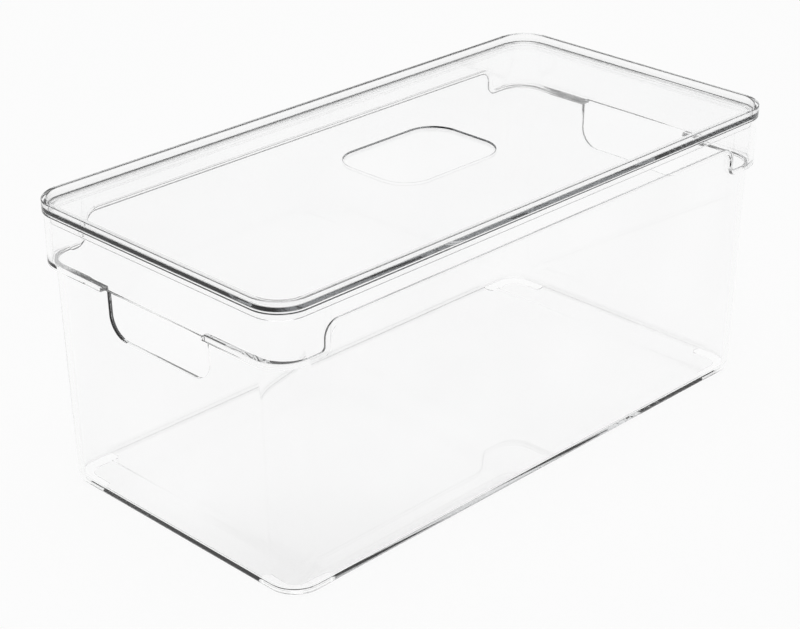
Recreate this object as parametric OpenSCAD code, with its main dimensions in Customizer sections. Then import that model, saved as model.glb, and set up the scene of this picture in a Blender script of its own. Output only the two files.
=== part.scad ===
// Clear acrylic storage box with a lift-off lid.
// Millimetres, +Z up. Origin: centre of the footprint, at the level the feet stand on.
// X runs along the length, with a hand slot in each end wall. Y runs across the width.

/* [Bin] */
// Length over the outside of the upper collar
bin_l = 378.2; // [300:0.2:460]
// Width over the outside of the upper collar
bin_w = 187.4; // [140:0.2:240]
// Height from the resting surface to the rim
bin_h = 158.4; // [135:0.2:220]
// Wall thickness of the moulding
wall = 2.4; // [1.6:0.1:3.2]
// Thickness of the floor
floor_t = 2.6; // [1.6:0.1:4]
// Outside radius of the collar's upright corners
collar_r = 18; // [12:0.5:26]

/* [Lower body] */
// Width of the ledge at both ends, from the collar in to the lower body
end_ledge_w = 3.7; // [2:0.1:6]
// Width of the ledge along both sides, from the collar in to the lower body
side_ledge_w = 1.7; // [1:0.1:4]
// How far each end wall draws in from the ledge down to the base
end_taper = 4.4; // [0:0.1:8]
// How far each side wall draws in from the ledge down to the base
side_taper = 1; // [0:0.1:4]
// Outside radius of the lower body's corners, at the top
body_top_r = 18; // [12:0.5:26]
// Outside radius of the lower body's corners, at the base
base_r = 17; // [12:0.5:24]
// Size of the softened edge round the base
base_edge = 2.2; // [1:0.1:3]

/* [Shoulder] */
// Depth of the collar below the rim at both ends and round the corners
collar_end_drop = 29; // [24:0.5:36]
// Depth of the collar below the rim along both sides
collar_side_drop = 14.2; // [9:0.2:20]
// Distance from each end of the collar to the step between the two depths
corner_run = 33.6; // [28:0.2:80]
// Radius at the foot of the step
step_low_r = 5; // [4:0.1:7]
// Radius at the head of the step
step_high_r = 6.5; // [3:0.1:8]

/* [Hand slots] */
// Width of each hand slot
slot_w = 76.5; // [60:0.5:110]
// Height of each hand slot below the free edge of the grip
slot_h = 28.4; // [20:0.2:45]
// Radius of the slot's lower corners
slot_r = 12; // [4:0.5:18]

/* [Corner feet] */
// Height of the feet under the base
foot_h = 1; // [0.6:0.1:2.5]
// Distance of the feet from the outside of the base
foot_inset = 2; // [1.5:0.1:4]
// Width of each foot's arms
foot_w = 7.5; // [4:0.1:12]
// Length of each foot along the box, from the outside of the base
foot_run_x = 31; // [24:0.5:45]
// Length of each foot across the box, from the outside of the base
foot_run_y = 29; // [24:0.5:45]

/* [Lid] */
// How far the lid reaches past the collar on every side
lid_overhang = 0.9; // [0.4:0.1:3]
// Thickness of the lid's panel
lid_t = 2.9; // [1.8:0.1:4]
// Height of the stacking rim above the panel
rim_h = 4; // [2:0.1:8]
// Width of the stacking rim
rim_w = 3; // [1.8:0.1:6]
// Depth of the skirt that drops inside the collar
skirt_drop = 4.6; // [2:0.1:9]
// Thickness of the skirt
skirt_t = 1.8; // [1.2:0.1:3]
// Clearance between the skirt and the collar
lid_clearance = 0.4; // [0.2:0.05:1]

/* [Centre pad] */
// Length of the sunk pad in the middle of the lid
pad_l = 79; // [40:1:120]
// Width of the sunk pad
pad_w = 57; // [36:1:80]
// Corner radius of the sunk pad
pad_r = 17; // [6:0.5:18]
// Depth of the pad below the panel
pad_depth = 1; // [0.4:0.1:1.4]

/* [Hidden] */
$fn = 96;
// Segments of the lower body's corners
corner_fn = 64;
// A cutting shape starts or ends this far clear of what it cuts
clear = 1;

// Plan sizes of the lower body, and the half distance between the two steps
body_top_l = bin_l - 2 * end_ledge_w;
body_top_w = bin_w - 2 * side_ledge_w;
base_l = body_top_l - 2 * end_taper;
base_w = body_top_w - 2 * side_taper;
step_x = bin_l / 2 - corner_run;

// Levels above the resting surface
floor_top = foot_h + floor_t;
end_ledge_z = bin_h - collar_end_drop;
side_ledge_z = bin_h - collar_side_drop;
body_top_z = side_ledge_z + wall;
grip_edge_z = end_ledge_z + wall;
lid_z = bin_h;
panel_top_z = lid_z + lid_t;

// Lid outline, which follows the collar
lid_l = bin_l + 2 * lid_overhang;
lid_w = bin_w + 2 * lid_overhang;
lid_r = collar_r + lid_overhang;
skirt_inset = lid_overhang + wall + lid_clearance;

// Outline of a rounded rectangle, drawn in by inset on every side
module outline(l, w, r, inset = 0) {
    corner = r - inset;
    square([l - 2 * r, w - 2 * inset], center = true);
    square([l - 2 * inset, w - 2 * r], center = true);
    for (x = [-1, 1], y = [-1, 1])
        translate([x * (l / 2 - r), y * (w / 2 - r)]) circle(corner);
}

module slab(z, h) {
    translate([0, 0, z]) linear_extrude(h) children();
}

// One level of the tapered lower body, as four thin corner discs for a hull
module body_level(l, w, r, inset, z) {
    skin = 0.01;
    for (x = [-1, 1], y = [-1, 1])
        translate([x * (l / 2 - r), y * (w / 2 - r), z])
            cylinder(h = skin, r = r - inset, $fn = corner_fn);
}

// Tapered lower body, drawn in by inset, with its floor at z and a softened edge
module body_form(inset, z, edge) {
    hull() {
        body_level(base_l, base_w, base_r, inset + edge, z);
        body_level(base_l, base_w, base_r, inset, z + edge);
        body_level(body_top_l, body_top_w, body_top_r, inset, body_top_z);
    }
}

// The low middle of the shoulder line, seen from the side: the collar stops above it.
// grow moves the line up and out by the wall, for the inside of the moulding.
module shoulder_notch(grow) {
    half = step_x + grow;
    top = side_ledge_z + grow;
    mouth = end_ledge_z + grow;
    high_r = step_high_r + grow;
    low_r = step_low_r - grow;
    translate([-half, 0]) square([2 * half, top - high_r]);
    translate([-half + high_r, 0]) square([2 * (half - high_r), top]);
    for (side = [-1, 1]) {
        translate([side * (half - high_r), top - high_r]) circle(high_r);
        difference() {
            translate([side * (half + low_r / 2), mouth]) square([low_r, 2 * low_r], center = true);
            translate([side * (half + low_r), mouth + low_r]) circle(low_r);
        }
    }
}

// Upper collar, drawn in by inset. Its lower edge follows the shoulder line.
module collar_form(inset, top) {
    difference() {
        slab(end_ledge_z + inset, top - end_ledge_z - inset) outline(bin_l, bin_w, collar_r, inset);
        rotate([90, 0, 0]) translate([0, 0, -bin_w / 2 - clear])
            linear_extrude(bin_w + 2 * clear) shoulder_notch(inset);
    }
}

// Hand slot outline in the end wall, up to the free edge of the grip
module slot_outline() {
    low = grip_edge_z - slot_h;
    translate([-slot_w / 2, low + slot_r]) square([slot_w, slot_h - slot_r]);
    translate([-slot_w / 2 + slot_r, low]) square([slot_w - 2 * slot_r, slot_h]);
    for (side = [-1, 1])
        translate([side * (slot_w / 2 - slot_r), low + slot_r]) circle(slot_r);
}

module hand_slots() {
    rotate([90, 0, 90]) translate([0, 0, -bin_l / 2 - clear])
        linear_extrude(bin_l + 2 * clear) slot_outline();
}

// One L-shaped foot under each corner of the base
module corner_feet() {
    slab(0, foot_h + floor_t / 2) intersection() {
        difference() {
            outline(base_l, base_w, base_r, foot_inset);
            outline(base_l, base_w, base_r, foot_inset + foot_w);
        }
        for (x = [-1, 1], y = [-1, 1])
            translate([x * (base_l - foot_run_x) / 2, y * (base_w - foot_run_y) / 2])
                square([foot_run_x, foot_run_y], center = true);
    }
}

module bin() {
    color([0.93, 0.95, 0.96, 0.35]) union() {
        difference() {
            union() {
                body_form(0, foot_h, base_edge);
                collar_form(0, bin_h);
            }
            body_form(wall, floor_top, base_edge);
            collar_form(wall, bin_h + clear);
            hand_slots();
        }
        corner_feet();
    }
}

module lid() {
    color([0.93, 0.95, 0.96, 0.3]) difference() {
        union() {
            slab(lid_z, lid_t) outline(lid_l, lid_w, lid_r);
            slab(lid_z, lid_t + rim_h) difference() {
                outline(lid_l, lid_w, lid_r);
                outline(lid_l, lid_w, lid_r, rim_w);
            }
            slab(lid_z - skirt_drop, skirt_drop + lid_t / 2) difference() {
                outline(lid_l, lid_w, lid_r, skirt_inset);
                outline(lid_l, lid_w, lid_r, skirt_inset + skirt_t);
            }
        }
        slab(panel_top_z - pad_depth, pad_depth + clear) outline(pad_l, pad_w, pad_r);
    }
}

bin();
lid();
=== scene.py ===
"""Clear acrylic storage box with a lift-off lid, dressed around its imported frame."""

from math import atan2, cos, pi, sin

import bmesh
import bpy
from bpy.props import FloatProperty, FloatVectorProperty, IntProperty, PointerProperty
from mathutils import Matrix, Vector


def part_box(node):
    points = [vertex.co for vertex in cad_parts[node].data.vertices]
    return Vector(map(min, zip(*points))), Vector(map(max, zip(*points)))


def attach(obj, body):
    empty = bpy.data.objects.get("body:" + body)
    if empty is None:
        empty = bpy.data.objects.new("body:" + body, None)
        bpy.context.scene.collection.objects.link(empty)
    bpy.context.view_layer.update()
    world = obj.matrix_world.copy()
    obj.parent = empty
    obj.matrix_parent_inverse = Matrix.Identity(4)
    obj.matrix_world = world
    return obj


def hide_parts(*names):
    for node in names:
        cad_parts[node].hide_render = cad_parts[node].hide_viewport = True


bl_info = {
    "name": "Clear storage box",
    "version": (1, 0, 0),
    "blender": (4, 5, 0),
    "location": "View3D > Sidebar > Storage box",
    "description": "Builds a clear acrylic storage box and its lid around the packed frame",
    "category": "Add Mesh",
}

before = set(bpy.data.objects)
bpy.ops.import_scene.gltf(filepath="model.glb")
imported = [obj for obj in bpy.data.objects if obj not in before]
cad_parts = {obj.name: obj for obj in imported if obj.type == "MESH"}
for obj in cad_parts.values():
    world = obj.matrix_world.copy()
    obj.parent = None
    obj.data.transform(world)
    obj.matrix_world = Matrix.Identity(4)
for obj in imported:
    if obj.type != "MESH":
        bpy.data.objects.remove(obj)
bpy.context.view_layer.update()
BIN_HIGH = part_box("bin")[1]
LID_LOW, LID_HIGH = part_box("lid")
MM = 0.001
QUARTER = pi / 2

# Points closer than this are merged
SAME_SPOT = 0.002 * MM
# How near a point has to be to lie on a cut, and at a corner's start or a foot's end
ON_CUT = 0.001 * MM
ON_END = 0.01 * MM
# How far the columns of the shoulder's step stay clear of their neighbours
COLUMN_GAP = 0.2 * MM

# Segments of the roundings
EDGE_STEPS = 5
BASE_EDGE_STEPS = 8
SHOULDER_ARC_STEPS = 8
SLOT_CORNER_STEPS = 16
FOOT_CORNER_STEPS = 12
FOOT_END_STEPS = 6
SOLE_EDGE_STEPS = 2
PAD_EDGE_STEPS = 4

# The surround. The belt's edges go by the upward part of a direction: 0 level, 1 overhead
WHITE = (1, 1, 1, 1)
BELT_DARK = (0.02, 0.02, 0.02, 1)
BELT_EDGES = ((0.51, WHITE), (0.57, BELT_DARK), (0.88, BELT_DARK), (0.93, WHITE))

# The floor reaches this far from the middle, and shows this share of plain backdrop colour
FLOOR_REACH = 12
FLOOR_GLOW = 0.93

LAMP_LENGTH = 1.6
LAMP_WIDTH = 1.2
LAMP_POWER = 6
LAMP_PLACE = (-0.3, -0.2, 1.8)

# The photograph's viewing angle: where the camera stands, and its view's right and up
CAMERA_PLACE = (-0.7518, -0.7273, 0.5729)
VIEW_RIGHT = (0.702565, -0.711620, 0)
VIEW_UP = (0.310909, 0.306952, 0.899509)
LENS_MM = 93.71
SENSOR_MM = 36

# Light that a panel's two faces trap leaves it at the far edge, after many turns
CLEAR_BOUNCES = 128
GLOSSY_BOUNCES = 32


def length(label, text, default_mm, least_mm=0.0):
    """A length property, its default given in millimetres."""
    return FloatProperty(name=label, description=text, default=default_mm * MM,
                         min=least_mm * MM, unit="LENGTH", precision=4)


class BoxSizes(bpy.types.PropertyGroup):
    """Sizes of the box's moulded body"""
    wall: length("Wall", "Thickness of the moulding", 2.4, 1)
    floor_t: length("Floor", "Thickness of the floor", 2.6, 1)
    collar_r: length("Collar corner", "Outside radius of the collar's upright corners", 18)
    end_ledge_w: length("End ledge", "Width of the ledge at both ends", 3.7)
    side_ledge_w: length("Side ledge", "Width of the ledge along both sides", 1.7)
    end_taper: length("End taper", "How far each end wall draws in down to the base", 4.4)
    side_taper: length("Side taper", "How far each side wall draws in down to the base", 1)
    base_r: length("Base corner", "Outside radius of the body's corners at the base", 17)
    body_top_r: length("Body corner", "Outside radius of the body's corners at the top", 18)
    base_edge: length("Base edge", "Radius of the edge round the base", 2.2)
    collar_end_drop: length("End collar", "Depth of the collar at the ends", 29)
    collar_side_drop: length("Side collar", "Depth of the collar along the sides", 14.2)
    corner_run: length("Corner run", "From each end to the step in the shoulder line", 33.6)
    step_low_r: length("Step foot", "Radius at the foot of the step", 5)
    step_high_r: length("Step head", "Radius at the head of the step", 6.5)
    slot_w: length("Slot width", "Width of each hand slot", 76.5)
    slot_h: length("Slot height", "Height of each hand slot", 28.4)
    slot_r: length("Slot corner", "Radius of the slot's lower corners", 12)
    foot_h: length("Foot height", "Height of the corner feet", 1)
    foot_inset: length("Foot inset", "Distance of the feet from the base outline", 2)
    foot_w: length("Foot width", "Width of each foot's arms", 7.5)
    foot_run_x: length("Foot length", "Length of each foot along the box", 31)
    foot_run_y: length("Foot breadth", "Length of each foot across the box", 29)
    edge: length("Edge", "Radius of the moulding's small edges", 0.6)
    steps: IntProperty(name="Corner steps", description="Segments in each corner",
                       default=20, min=4)


class LidSizes(bpy.types.PropertyGroup):
    """Sizes of the lid"""
    corner_r: length("Corner", "Outside radius of the lid's corners", 18.9)
    thickness: length("Panel", "Thickness of the panel", 2.9)
    rim_w: length("Rim width", "Width of the stacking rim", 3)
    skirt_inset: length("Skirt inset", "From the lid's edge in to the skirt", 3.7)
    skirt_t: length("Skirt", "Thickness of the skirt", 1.8)
    pad_l: length("Pad length", "Length of the sunk pad", 79)
    pad_w: length("Pad width", "Width of the sunk pad", 57)
    pad_r: length("Pad corner", "Corner radius of the sunk pad", 17)
    pad_depth: length("Pad depth", "Depth of the pad below the panel", 1)
    edge: length("Edge", "Radius of the lid's small edges", 0.6)
    steps: IntProperty(name="Corner steps", description="Segments in each corner",
                       default=20, min=4)


class BoxLooks(bpy.types.PropertyGroup):
    """Finish of the acrylic and of the set"""
    tint: FloatVectorProperty(name="Tint", description="Colour that thick acrylic leaves in light",
                              subtype="COLOR", size=3, default=(0.61, 0.62, 0.63))
    bin_density: FloatProperty(name="Box density", description="How fast the box's tint builds up",
                               default=4, min=0)
    lid_density: FloatProperty(name="Lid density", description="How fast the lid's tint builds up",
                               default=18, min=0)
    ior: FloatProperty(name="IOR", description="Refractive index of acrylic", default=1.49, min=1)
    backdrop: FloatVectorProperty(name="Backdrop", description="Colour of the floor and backdrop",
                                  subtype="COLOR", size=3, default=(1.0, 1.0, 1.0))


def looks():
    """The finishes' values."""
    return bpy.context.scene.box_looks


# Meshes

def link(name, bm):
    """Makes an object of a finished bmesh, with its place in its mesh."""
    mesh = bpy.data.meshes.new(name)
    bm.to_mesh(mesh)
    bm.free()
    made = bpy.data.objects.new(name, mesh)
    bpy.context.scene.collection.objects.link(made)
    return made


def outline_face(bm, half_l, half_w, radius, z, steps):
    """A flat rectangle whose corner points are bevelled round."""
    corners = bmesh.ops.create_grid(bm, x_segments=1, y_segments=1, size=1)["verts"]
    bmesh.ops.scale(bm, vec=(half_l, half_w, 1), verts=corners)
    bmesh.ops.translate(bm, vec=(0, 0, z), verts=corners)
    bmesh.ops.bevel(bm, geom=corners, offset=radius, offset_type="OFFSET", affect="VERTICES",
                    segments=steps, profile=0.5, material=-1, clamp_overlap=False)


class Spots:
    """Where each point of a rounded outline stands: on a straight side or in a corner."""

    def __init__(self, bm, half_l, half_w, radius, columns=()):
        self.layer = bm.verts.layers.int.new("spot")
        self.places = []
        centre = Vector((half_l - radius, half_w - radius))
        for v in bm.verts:
            side = Vector((1 if v.co.x > 0 else -1, 1 if v.co.y > 0 else -1))
            reach = Vector((abs(v.co.x), abs(v.co.y))) - centre
            if reach.x < -ON_END:
                column = min(range(len(columns)), key=lambda j: abs(columns[j] - abs(v.co.x)))
                self.places.append((side, None, column))
            else:
                self.places.append((side, atan2(reach.y, reach.x), None))
            v[self.layer] = len(self.places) - 1

    def next_ring(self, bm, ring, place):
        """Extrudes a ring of edges and stands each new point where place says."""
        grown = bmesh.ops.extrude_edge_only(bm, edges=ring)["geom"]
        edges = [e for e in grown if isinstance(e, bmesh.types.BMEdge)]
        for v in {v for e in edges for v in e.verts}:
            v.co = place(*self.places[v[self.layer]])
        return edges


def rounded(side, angle, half_l, half_w, radius, z):
    """The point at an angle of a rounded outline's corner."""
    x = half_l - radius + radius * cos(angle)
    y = half_w - radius + radius * sin(angle)
    return Vector((side.x * x, side.y * y, z))


def fillet(radius, steps=EDGE_STEPS):
    """Points of a quarter round: one distance grows from 0 to the radius, one falls to 0."""
    for i in range(steps + 1):
        turn = QUARTER * i / steps
        yield radius * (1 - cos(turn)), radius * (1 - sin(turn))


def level_ring(half_l, half_w, radius, inset, z):
    """Placing of a ring at one height, drawn in from an outline by inset."""
    def place(side, angle, column):
        return rounded(side, angle, half_l - inset, half_w - inset, radius - inset, z)
    return place


def cut_both_sides(bm, at, axis):
    """Cuts edges into a mesh square to an axis, this far from the middle on both sides."""
    for side in (-1, 1):
        bmesh.ops.bisect_plane(bm, geom=bm.verts[:] + bm.edges[:] + bm.faces[:],
                               plane_co=Vector(axis) * at * side, plane_no=axis, dist=ON_CUT)


def close_up(bm):
    """Merges points that coincide and turns every face outwards."""
    bmesh.ops.remove_doubles(bm, verts=bm.verts, dist=SAME_SPOT)
    bmesh.ops.recalc_face_normals(bm, faces=bm.faces)


def combine(target, tool, operation):
    """Joins or cuts a solid with another, and deletes the tool."""
    step = target.modifiers.new(operation, "BOOLEAN")
    step.object = tool
    step.operation = operation
    step.solver = "EXACT"
    bpy.context.view_layer.update()
    solid = target.evaluated_get(bpy.context.evaluated_depsgraph_get())
    done = bpy.data.meshes.new_from_object(solid)
    target.modifiers.clear()
    old = target.data
    target.data = done
    bpy.data.meshes.remove(old)
    bpy.data.objects.remove(tool)


def polish(piece, material):
    """Smooth shading that keeps flat faces flat, and the piece's finish."""
    piece.data.materials.clear()
    piece.data.materials.append(material)
    for face in piece.data.polygons:
        face.use_smooth = True
        face.material_index = 0
    even = piece.modifiers.new("Flat faces", "WEIGHTED_NORMAL")
    even.mode = "FACE_AREA"
    even.weight = 100
    even.keep_sharp = True


# The moulded box

class BoxForm:
    """Every outline of the box, from its sizes and the frame."""

    def __init__(self, s):
        self.s = s
        self.collar_l = BIN_HIGH.x
        self.collar_w = BIN_HIGH.y
        self.top = BIN_HIGH.z
        self.end_z = self.top - s.collar_end_drop
        self.side_z = self.top - s.collar_side_drop
        self.body_top = self.side_z + s.wall
        self.top_l = self.collar_l - s.end_ledge_w
        self.top_w = self.collar_w - s.side_ledge_w
        self.base_l = self.top_l - s.end_taper
        self.base_w = self.top_w - s.side_taper
        self.floor_top = s.foot_h + s.floor_t
        self.step = self.collar_l - s.corner_run
        self.columns = [self.column_x(j, 0) for j in range(2 * SHOULDER_ARC_STEPS + 2)]

    def column_x(self, column, grow):
        """Where a column of the step stands above and below it, clear of its neighbours."""
        apart = -COLUMN_GAP if column <= SHOULDER_ARC_STEPS else COLUMN_GAP
        return self.shoulder(column, grow)[0] + apart

    def body(self, z, inset=0.0):
        """Half length, half width and corner radius of the tapered body at a height."""
        s = self.s
        foot = s.foot_h + s.base_edge
        t = min(max((z - foot) / (self.body_top - foot), 0), 1)
        return (self.base_l + s.end_taper * t - inset, self.base_w + s.side_taper * t - inset,
                s.base_r + (s.body_top_r - s.base_r) * t - inset)

    def collar(self, inset=0.0):
        """Half length, half width and corner radius of the collar."""
        return self.collar_l - inset, self.collar_w - inset, self.s.collar_r - inset

    def shoulder(self, column, grow):
        """A point of the shoulder line's step, set off by grow: (x, z)."""
        s = self.s
        high, low = s.step_high_r + grow, s.step_low_r - grow
        middle = self.step + grow
        if column <= SHOULDER_ARC_STEPS:
            turn = QUARTER * (1 - column / SHOULDER_ARC_STEPS)
            return middle - high + high * cos(turn), self.side_z + grow - high + high * sin(turn)
        turn = QUARTER * (column - SHOULDER_ARC_STEPS - 1) / SHOULDER_ARC_STEPS
        return middle + low - low * cos(turn), self.end_z + grow + low - low * sin(turn)

    def level(self, z, plan, grow=0.0):
        """Placing of a ring at one height. Its columns keep to the step set off by grow."""
        def place(side, angle, column):
            half_l, half_w, radius = plan(z)
            if angle is None:
                return Vector((side.x * self.column_x(column, grow), side.y * half_w, z))
            return rounded(side, angle, half_l, half_w, radius, z)
        return place

    def along_shoulder(self, grow, plan):
        """Placing of a ring that follows the shoulder line."""
        def place(side, angle, column):
            if angle is None:
                x, z = self.shoulder(column, grow)
                return Vector((side.x * x, side.y * plan(z)[1], z))
            z = self.end_z + grow
            half_l, half_w, radius = plan(z)
            return rounded(side, angle, half_l, half_w, radius, z)
        return place

    def rings(self):
        """The section of the moulding, from the base up outside and down inside."""
        s, e, wall = self.s, self.s.edge, self.s.wall
        for out, up in fillet(s.base_edge, BASE_EDGE_STEPS):
            yield self.level(s.foot_h + out, lambda z, i=up: self.body(z, i))
        for out, up in fillet(e):
            yield self.along_shoulder(-up, lambda z, i=out: self.body(z, -i))
        for out, up in fillet(e):
            yield self.along_shoulder(out, lambda z, i=up: self.collar(i))
        for out, up in fillet(e):
            yield self.level(self.top - up, lambda z, i=out: self.collar(i))
        for out, up in fillet(e):
            yield self.level(self.top - out, lambda z, i=wall - up: self.collar(i), wall)
        for out, up in fillet(e):
            yield self.along_shoulder(wall + up, lambda z, i=wall + out: self.collar(i))
        for out, up in fillet(e):
            yield self.along_shoulder(wall - out, lambda z, i=wall - up: self.body(z, i))
        for out, up in fillet(s.base_edge, BASE_EDGE_STEPS):
            yield self.level(self.floor_top + up, lambda z, i=wall + out: self.body(z, i), wall)


def make_shell(form):
    """The box without its hand slots and feet, as one closed shell."""
    s = form.s
    bm = bmesh.new()
    half_l, half_w, radius = form.body(s.foot_h, s.base_edge)
    outline_face(bm, half_l, half_w, radius, s.foot_h, s.steps)
    for x in form.columns:
        cut_both_sides(bm, x, (1, 0, 0))
    spots = Spots(bm, half_l, half_w, radius, form.columns)
    ring = [e for e in bm.edges if e.is_boundary]
    for place in form.rings():
        ring = spots.next_ring(bm, ring, place)
    bmesh.ops.edgeloop_fill(bm, edges=ring)
    close_up(bm)
    return link("clear_bin", bm)


def make_slot_cutter(form):
    """A bar with the hand slots' outline that runs through both end walls."""
    s = form.s
    bm = bmesh.new()
    past_both_ends = 2.2 * form.collar_l
    middle = form.end_z + s.wall - s.slot_h / 2
    verts = bmesh.ops.create_cube(bm, size=1)["verts"]
    bmesh.ops.scale(bm, vec=(past_both_ends, s.slot_w, s.slot_h), verts=verts)
    bmesh.ops.translate(bm, vec=(0, 0, middle), verts=verts)
    low = [e for e in bm.edges if all(v.co.z < middle for v in e.verts)
           and abs(e.verts[0].co.x - e.verts[1].co.x) > form.collar_l]
    bmesh.ops.bevel(bm, geom=low, offset=s.slot_r, offset_type="OFFSET", affect="EDGES",
                    segments=SLOT_CORNER_STEPS, profile=0.5, material=-1,
                    clamp_overlap=False)
    return link("slot_cutter", bm)


def make_feet(form):
    """The four L-shaped feet, sunk a little way into the base to join it."""
    s = form.s
    bm = bmesh.new()
    outline_face(bm, form.base_l - s.foot_inset, form.base_w - s.foot_inset,
                 s.base_r - s.foot_inset, 0, FOOT_CORNER_STEPS)
    middle = bm.faces[:]
    bmesh.ops.inset_region(bm, faces=middle, thickness=s.foot_w, use_boundary=True,
                           use_even_offset=True)
    bmesh.ops.delete(bm, geom=middle, context="FACES")
    end_x = form.base_l - s.foot_run_x
    end_y = form.base_w - s.foot_run_y
    cut_both_sides(bm, end_x, (1, 0, 0))
    cut_both_sides(bm, end_y, (0, 1, 0))
    spare = [f for f in bm.faces if abs(f.calc_center_median().x) < end_x
             or abs(f.calc_center_median().y) < end_y]
    bmesh.ops.delete(bm, geom=spare, context="FACES")
    corners = [v for v in bm.verts if len(v.link_faces) == 1 and v.is_boundary]
    ends = [v for v in corners if abs(abs(v.co.x) - end_x) < ON_END
            or abs(abs(v.co.y) - end_y) < ON_END]
    end_r = s.foot_w / 3
    bmesh.ops.bevel(bm, geom=ends, offset=end_r, offset_type="OFFSET", affect="VERTICES",
                    segments=FOOT_END_STEPS, profile=0.5, material=-1)
    rise = s.foot_h + s.floor_t / 2
    raised = bmesh.ops.extrude_face_region(bm, geom=bm.faces[:])["geom"]
    bmesh.ops.translate(bm, vec=(0, 0, rise),
                        verts=[v for v in raised if isinstance(v, bmesh.types.BMVert)])
    bmesh.ops.recalc_face_normals(bm, faces=bm.faces)
    sole = [e for e in bm.edges if all(v.co.z < rise / 2 for v in e.verts)
            and len({round(f.normal.z) for f in e.link_faces}) == 2]
    sole_r = s.foot_h / 4
    bmesh.ops.bevel(bm, geom=sole, offset=sole_r, offset_type="OFFSET", affect="EDGES",
                    segments=SOLE_EDGE_STEPS, profile=0.5, material=-1)
    return link("feet", bm)


# The lid

class LidForm:
    """Every outline of the lid, from its sizes and the frame."""

    def __init__(self, s, seat):
        self.s = s
        self.seat = seat
        self.panel = seat + s.thickness

    def rings(self):
        """The section from the panel's underside out round the edge and in to the pad."""
        s, e = self.s, self.s.edge
        inner, outer = s.skirt_inset + s.skirt_t, s.skirt_inset
        low, high = LID_LOW.z, LID_HIGH.z
        for out, up in fillet(e):
            yield inner + up, self.seat - out
        for out, up in fillet(e):
            yield inner - out, low + up
        for out, up in fillet(e):
            yield outer + up, low + out
        for out, up in fillet(e):
            yield outer - out, self.seat - up
        for out, up in fillet(e):
            yield up, self.seat + out
        for out, up in fillet(e):
            yield out, high - up
        for out, up in fillet(e):
            yield s.rim_w - up, high - out
        for out, up in fillet(e):
            yield s.rim_w + out, self.panel + up

    def pad_rings(self):
        """The section of the pad's side, which widens a little under its lip, to the pad."""
        s = self.s
        edge = s.edge / 2
        for out, up in fillet(edge, PAD_EDGE_STEPS):
            yield -s.edge + up, self.panel - out
        for out, up in fillet(edge, PAD_EDGE_STEPS):
            yield -edge + out, self.panel - s.pad_depth + up


def make_lid(form):
    """The lid as one closed shell, with a sunk pad in its middle."""
    s = form.s
    half_l, half_w = LID_HIGH.x, LID_HIGH.y
    bm = bmesh.new()
    start = s.skirt_inset + s.skirt_t + s.edge
    outline_face(bm, half_l - start, half_w - start, s.corner_r - start, form.seat, s.steps)
    spots = Spots(bm, half_l - start, half_w - start, s.corner_r - start)
    ring = [e for e in bm.edges if e.is_boundary]
    for inset, z in form.rings():
        ring = spots.next_ring(bm, ring, level_ring(half_l, half_w, s.corner_r, inset, z))
    for inset, z in form.pad_rings():
        ring = spots.next_ring(bm, ring, level_ring(s.pad_l / 2, s.pad_w / 2, s.pad_r, inset, z))
    bmesh.ops.edgeloop_fill(bm, edges=ring)
    close_up(bm)
    return link("clear_lid", bm)


# Finishes

def new_tree(owner):
    """The emptied node tree of a material or the world."""
    owner.use_nodes = True
    owner.node_tree.nodes.clear()
    return owner.node_tree


def add(tree, kind, **values):
    """A node with its inputs set by name, where _ stands for a space."""
    node = tree.nodes.new(kind)
    for name, value in values.items():
        node.inputs[name.replace("_", " ")].default_value = value
    return node


def clear_acrylic(name, density):
    """Polished clear acrylic: a faint, nearly neutral tint in thick places, and the slight
    unevenness and wiping haze that a moulded, handled face has."""
    look = looks()
    material = bpy.data.materials.new(name)
    tree = new_tree(material)
    place = tree.nodes.new("ShaderNodeTexCoord")
    wave = add(tree, "ShaderNodeTexNoise", Scale=14, Detail=1.5, Roughness=0.4)
    haze = add(tree, "ShaderNodeTexNoise", Scale=38, Detail=5, Roughness=0.6)
    film = add(tree, "ShaderNodeMapRange", From_Min=0.50, From_Max=0.80, To_Min=0.0,
               To_Max=0.025)
    shade = add(tree, "ShaderNodeMapRange", From_Min=0.3, From_Max=0.7, To_Min=0.985,
                To_Max=1.0)
    bump = add(tree, "ShaderNodeBump", Strength=0.02, Distance=0.0004)
    body = add(tree, "ShaderNodeBsdfPrincipled", IOR=look.ior, Transmission_Weight=1)
    inside = add(tree, "ShaderNodeVolumeAbsorption", Color=(*look.tint, 1), Density=density)
    result = tree.nodes.new("ShaderNodeOutputMaterial")
    joins = ((place, "Object", wave, "Vector"), (place, "Object", haze, "Vector"),
             (haze, 0, film, 0), (wave, 0, shade, 0), (wave, 0, bump, "Height"),
             (film, 0, body, "Roughness"), (shade, 0, body, "Base Color"),
             (bump, 0, body, "Normal"), (body, 0, result, "Surface"),
             (inside, 0, result, "Volume"))
    for source, give, target, take in joins:
        tree.links.new(source.outputs[give], target.inputs[take])
    return material


def seen_directly(tree):
    """1 for camera, glossy and transmission rays, 0 for those that only light."""
    path = tree.nodes.new("ShaderNodeLightPath")
    total = path.outputs["Is Camera Ray"]
    for name in ("Is Glossy Ray", "Is Transmission Ray"):
        either = tree.nodes.new("ShaderNodeMath")
        either.operation = "MAXIMUM"
        tree.links.new(total, either.inputs[0])
        tree.links.new(path.outputs[name], either.inputs[1])
        total = either.outputs[0]
    return total


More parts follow.
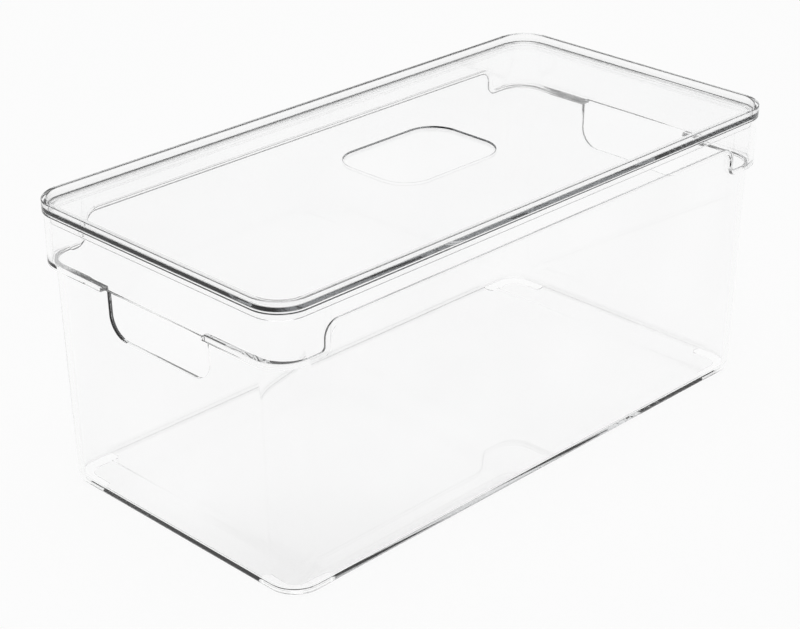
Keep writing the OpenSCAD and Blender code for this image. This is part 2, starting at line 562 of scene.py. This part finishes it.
def floor_finish():
    """A pale matt floor that shows as the backdrop's white and keeps a faint shadow."""
    material = bpy.data.materials.new("pale_floor")
    tree = new_tree(material)
    colour = (*looks().backdrop, 1)
    matt = add(tree, "ShaderNodeBsdfDiffuse", Color=colour)
    glow = add(tree, "ShaderNodeEmission", Color=colour, Strength=1)
    share = tree.nodes.new("ShaderNodeMath")
    share.operation = "MULTIPLY"
    share.inputs[1].default_value = FLOOR_GLOW
    mix = tree.nodes.new("ShaderNodeMixShader")
    result = tree.nodes.new("ShaderNodeOutputMaterial")
    tree.links.new(seen_directly(tree), share.inputs[0])
    tree.links.new(share.outputs[0], mix.inputs[0])
    tree.links.new(matt.outputs[0], mix.inputs[1])
    tree.links.new(glow.outputs[0], mix.inputs[2])
    tree.links.new(mix.outputs[0], result.inputs["Surface"])
    return material


def studio_world():
    """White all round, with a dark belt high up that the camera sees only by way of the
    acrylic. It draws the thin dark lines along the edges. Views from level or above look
    straight through a wall at white."""
    world = bpy.data.worlds.new("studio")
    bpy.context.scene.world = world
    tree = new_tree(world)
    sky = tree.nodes.new("ShaderNodeTexCoord")
    split = tree.nodes.new("ShaderNodeSeparateXYZ")
    belt = tree.nodes.new("ShaderNodeValToRGB")
    stops = belt.color_ramp.elements
    stops[0].position = 0.0
    stops[0].color = WHITE
    stops[1].position = 1.0
    stops[1].color = WHITE
    for at, colour in BELT_EDGES:
        stops.new(at).color = colour
    path = tree.nodes.new("ShaderNodeLightPath")
    plain = tree.nodes.new("ShaderNodeMix")
    plain.data_type = "RGBA"
    back = tree.nodes.new("ShaderNodeBackground")
    result = tree.nodes.new("ShaderNodeOutputWorld")
    tree.links.new(sky.outputs["Generated"], split.inputs[0])
    tree.links.new(split.outputs["Z"], belt.inputs[0])
    tree.links.new(path.outputs["Is Camera Ray"], plain.inputs["Factor"])
    tree.links.new(belt.outputs[0], plain.inputs["A"])
    plain.inputs["B"].default_value = WHITE
    tree.links.new(plain.outputs["Result"], back.inputs["Color"])
    tree.links.new(back.outputs[0], result.inputs["Surface"])


def hang_lamp(scene):
    """One soft lamp above the box."""
    lamp = bpy.data.lights.new("overhead_softbox", "AREA")
    lamp.shape = "RECTANGLE"
    lamp.size = LAMP_LENGTH
    lamp.size_y = LAMP_WIDTH
    lamp.energy = LAMP_POWER
    hung = bpy.data.objects.new("overhead_softbox", lamp)
    hung.location = LAMP_PLACE
    scene.collection.objects.link(hung)


def place_camera(scene):
    """The camera at the photograph's viewing angle."""
    lens = bpy.data.cameras.new("camera")
    lens.sensor_width = SENSOR_MM
    lens.lens = LENS_MM
    camera = bpy.data.objects.new("camera", lens)
    right = Vector(VIEW_RIGHT)
    up = Vector(VIEW_UP)
    turn = Matrix((right, up, right.cross(up))).transposed().to_4x4()
    camera.matrix_world = Matrix.Translation(CAMERA_PLACE) @ turn
    scene.collection.objects.link(camera)
    scene.camera = camera


# Operators

class BOX_OT_bin(bpy.types.Operator):
    """Build the moulded box: body, collar, hand slots and feet"""
    bl_idname = "storage_box.bin"
    bl_label = "Box"

    def execute(self, context):
        form = BoxForm(context.scene.box_sizes)
        shell = make_shell(form)
        combine(shell, make_slot_cutter(form), "DIFFERENCE")
        combine(shell, make_feet(form), "UNION")
        polish(shell, clear_acrylic("clear_bin", looks().bin_density))
        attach(shell, "bin")
        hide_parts("bin")
        return {"FINISHED"}


class BOX_OT_lid(bpy.types.Operator):
    """Build the lid: panel, stacking rim, skirt and sunk pad"""
    bl_idname = "storage_box.lid"
    bl_label = "Lid"

    def execute(self, context):
        lid = make_lid(LidForm(context.scene.lid_sizes, BIN_HIGH.z))
        polish(lid, clear_acrylic("clear_lid", looks().lid_density))
        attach(lid, "lid")
        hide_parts("lid")
        return {"FINISHED"}


class BOX_OT_stage(bpy.types.Operator):
    """Set the floor, the light and the camera"""
    bl_idname = "storage_box.stage"
    bl_label = "Stage"

    def execute(self, context):
        bm = bmesh.new()
        bmesh.ops.create_grid(bm, x_segments=1, y_segments=1, size=FLOOR_REACH)
        floor = link("floor", bm)
        floor.data.materials.append(floor_finish())
        studio_world()
        hang_lamp(context.scene)
        place_camera(context.scene)
        context.scene.view_settings.view_transform = "Standard"
        context.scene.cycles.max_bounces = CLEAR_BOUNCES
        context.scene.cycles.transmission_bounces = CLEAR_BOUNCES
        context.scene.cycles.glossy_bounces = GLOSSY_BOUNCES
        return {"FINISHED"}


class BOX_PT_panel(bpy.types.Panel):
    """Buttons for the box's pieces and its stage"""
    bl_idname = "BOX_PT_panel"
    bl_label = "Storage box"
    bl_space_type = "VIEW_3D"
    bl_region_type = "UI"
    bl_category = "Storage box"

    def draw(self, context):
        for step in STEPS:
            self.layout.operator(step.bl_idname)
        for group in GROUPS:
            values = getattr(context.scene, group)
            for name in values.__annotations__:
                self.layout.prop(values, name)


STEPS = (BOX_OT_stage, BOX_OT_bin, BOX_OT_lid)
GROUPS = {"box_sizes": BoxSizes, "lid_sizes": LidSizes, "box_looks": BoxLooks}
CLASSES = (*GROUPS.values(), *STEPS, BOX_PT_panel)


def register():
    """Adds the classes, and the values that they read to the scene."""
    for cls in CLASSES:
        bpy.utils.register_class(cls)
    for name, group in GROUPS.items():
        setattr(bpy.types.Scene, name, PointerProperty(type=group))


def unregister():
    """Takes the values and the classes away again."""
    for name in GROUPS:
        delattr(bpy.types.Scene, name)
    for cls in reversed(CLASSES):
        bpy.utils.unregister_class(cls)


def main():
    """Builds the stage and both pieces."""
    register()
    bpy.ops.storage_box.stage()
    bpy.ops.storage_box.bin()
    bpy.ops.storage_box.lid()


if __name__ == "__main__":
    main()
